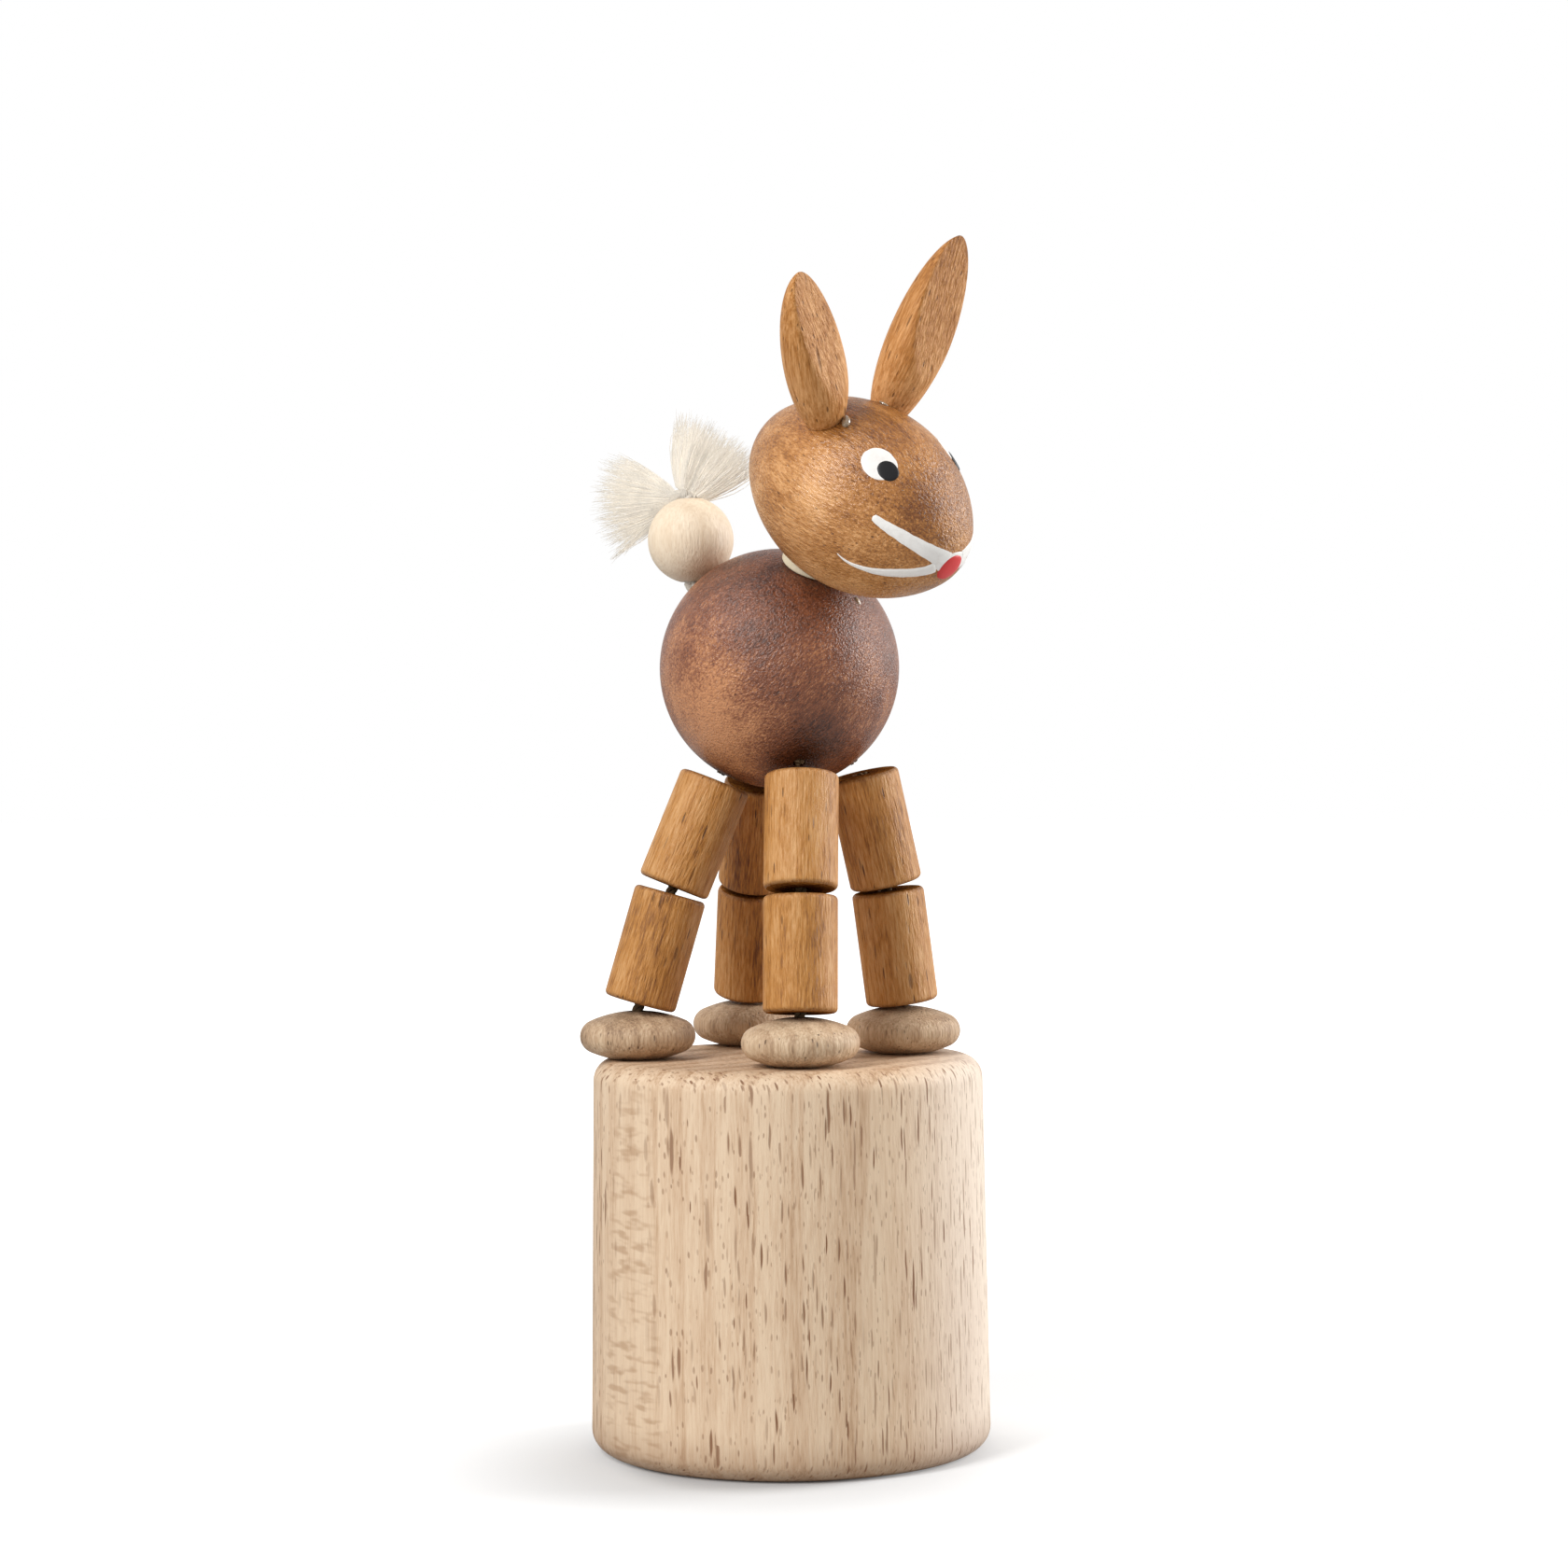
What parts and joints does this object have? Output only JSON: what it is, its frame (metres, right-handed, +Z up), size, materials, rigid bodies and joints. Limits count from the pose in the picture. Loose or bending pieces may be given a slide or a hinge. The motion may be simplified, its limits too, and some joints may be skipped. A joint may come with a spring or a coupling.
{
  "type": "push puppet",
  "caption": "Wooden push puppet: a long-eared animal of strung beads and pegs stands on a hollow drum and goes limp when the sprung button under the drum is pressed.",
  "frame": {"origin": "on the drum's axis at its resting plane, which is the middle of the whole object's box from below", "axes": "+X towards the animal's front, +Y to its left, +Z up"},
  "size_m": [0.0467, 0.0384, 0.115],
  "materials": {
    "raw_beech": "raw turned beech with dark flecks",
    "button_wood": "raw turned wood",
    "spring_wire": "drawn spring wire",
    "cord": "thin twisted cotton cord",
    "tail_yarn": "soft frayed cotton yarn",
    "foot_wood": "grey-brown stain",
    "leg_wood": "tan stain with the grain showing",
    "ball_wood": "red-brown stain, low sheen",
    "head_wood": "golden-brown satin stain",
    "neck_wood": "pale raw wood",
    "bead_wood": "pale varnished wood"
  },
  "bodies": {
    "base": {"drum": "raw_beech", "foot_cords": "cord", "spring": "spring_wire", "drum_cords": "cord", "foot_front_right": "foot_wood", "foot_front_left": "foot_wood", "foot_rear_right": "foot_wood", "foot_rear_left": "foot_wood"},
    "button": {"button": "button_wood", "cord_knots": "cord"},
    "shin_front_right": {"shin_front_right": "leg_wood", "shin_cord_front_right": "cord"},
    "thigh_front_right": {"thigh_front_right": "leg_wood", "thigh_cord_front_right": "cord"},
    "shin_front_left": {"shin_front_left": "leg_wood", "shin_cord_front_left": "cord"},
    "thigh_front_left": {"thigh_front_left": "leg_wood", "thigh_cord_front_left": "cord"},
    "shin_rear_right": {"shin_rear_right": "leg_wood", "shin_cord_rear_right": "cord"},
    "thigh_rear_right": {"thigh_rear_right": "leg_wood", "thigh_cord_rear_right": "cord"},
    "shin_rear_left": {"shin_rear_left": "leg_wood", "shin_cord_rear_left": "cord"},
    "thigh_rear_left": {"thigh_rear_left": "leg_wood", "thigh_cord_rear_left": "cord"},
    "body": {"body_ball": "ball_wood", "body_cords": "cord"},
    "neck": {"neck_disc": "neck_wood"},
    "head": {"head": "head_wood", "head_cord": "cord", "ear_right": "head_wood", "ear_left": "head_wood"},
    "tail": {"tail_bead": "bead_wood", "tail_yarn": "tail_yarn", "tail_tuft": "tail_yarn"}
  },
  "joints": [
    {"name": "button_press", "type": "slide", "parent": "base", "child": "button", "axis": [0, 0, 1], "range_m": [0, 0.01], "stiffness_N_per_m": 380, "springref_m": -0.004, "deforming": ["spring", "drum_cords"]},
    {"name": "ankle_front_right", "type": "hinge", "parent": "base", "child": "shin_front_right", "pos_m": [0.00784, -0.00911, 0.04217], "axis": [0.866, 0.5, 0], "range_deg": [0, 23]},
    {"name": "knee_front_right", "type": "hinge", "parent": "shin_front_right", "child": "thigh_front_right", "pos_m": [0.00508, -0.00434, 0.0529], "axis": [-0.866, -0.5, 0], "range_deg": [0, 11]},
    {"name": "ankle_front_left", "type": "hinge", "parent": "base", "child": "shin_front_left", "pos_m": [0.00784, 0.00911, 0.04217], "axis": [-0.866, 0.5, 0], "range_deg": [0, 23]},
    {"name": "knee_front_left", "type": "hinge", "parent": "shin_front_left", "child": "thigh_front_left", "pos_m": [0.00508, 0.00434, 0.0529], "axis": [0.866, -0.5, 0], "range_deg": [0, 11]},
    {"name": "ankle_rear_right", "type": "hinge", "parent": "base", "child": "shin_rear_right", "pos_m": [-0.01149, -0.00938, 0.04234], "axis": [0.6947, -0.7193, 0], "range_deg": [0, 40]},
    {"name": "knee_rear_right", "type": "hinge", "parent": "shin_rear_right", "child": "thigh_rear_right", "pos_m": [-0.00636, -0.00443, 0.05235], "axis": [-0.6947, 0.7193, 0], "range_deg": [0, 31]},
    {"name": "ankle_rear_left", "type": "hinge", "parent": "base", "child": "shin_rear_left", "pos_m": [-0.01149, 0.00938, 0.04234], "axis": [-0.6947, -0.7193, 0], "range_deg": [0, 40]},
    {"name": "knee_rear_left", "type": "hinge", "parent": "shin_rear_left", "child": "thigh_rear_left", "pos_m": [-0.00636, 0.00443, 0.05235], "axis": [0.6947, 0.7193, 0], "range_deg": [0, 31]},
    {"name": "body_bow", "type": "hinge", "parent": "base", "child": "body", "pos_m": [-0.00455, 0, 0.07477], "axis": [0, 1, 0], "range_deg": [0, 18.5]},
    {"name": "neck_nod", "type": "hinge", "parent": "body", "child": "neck", "pos_m": [0.00747, -0.00237, 0.08268], "axis": [0.1369, 0.9784, 0.1549], "range_deg": [0, 12]},
    {"name": "head_turn", "type": "hinge", "parent": "neck", "child": "head", "pos_m": [0.00495, -0.00228, 0.0843], "axis": [0.4896, -0.2028, 0.848], "range_deg": [-40, 40]},
    {"name": "tail_droop", "type": "hinge", "parent": "body", "child": "tail", "pos_m": [-0.0092, -0.00091, 0.08238], "axis": [0.1045, -0.9945, 0], "range_deg": [0, 29]}
  ],
  "couplings": [
    {"joint": "ankle_front_right", "follows": "button_press", "rad_per_m": 38.397},
    {"joint": "knee_front_right", "follows": "button_press", "rad_per_m": 17.453},
    {"joint": "ankle_front_left", "follows": "button_press", "rad_per_m": 38.397},
    {"joint": "knee_front_left", "follows": "button_press", "rad_per_m": 17.453},
    {"joint": "ankle_rear_right", "follows": "button_press", "rad_per_m": 68.068},
    {"joint": "knee_rear_right", "follows": "button_press", "rad_per_m": 52.36},
    {"joint": "ankle_rear_left", "follows": "button_press", "rad_per_m": 68.068},
    {"joint": "knee_rear_left", "follows": "button_press", "rad_per_m": 52.36},
    {"joint": "body_bow", "follows": "button_press", "rad_per_m": 31.416},
    {"joint": "neck_nod", "follows": "button_press", "rad_per_m": 19.199},
    {"joint": "tail_droop", "follows": "button_press", "rad_per_m": 48.869}
  ]
}
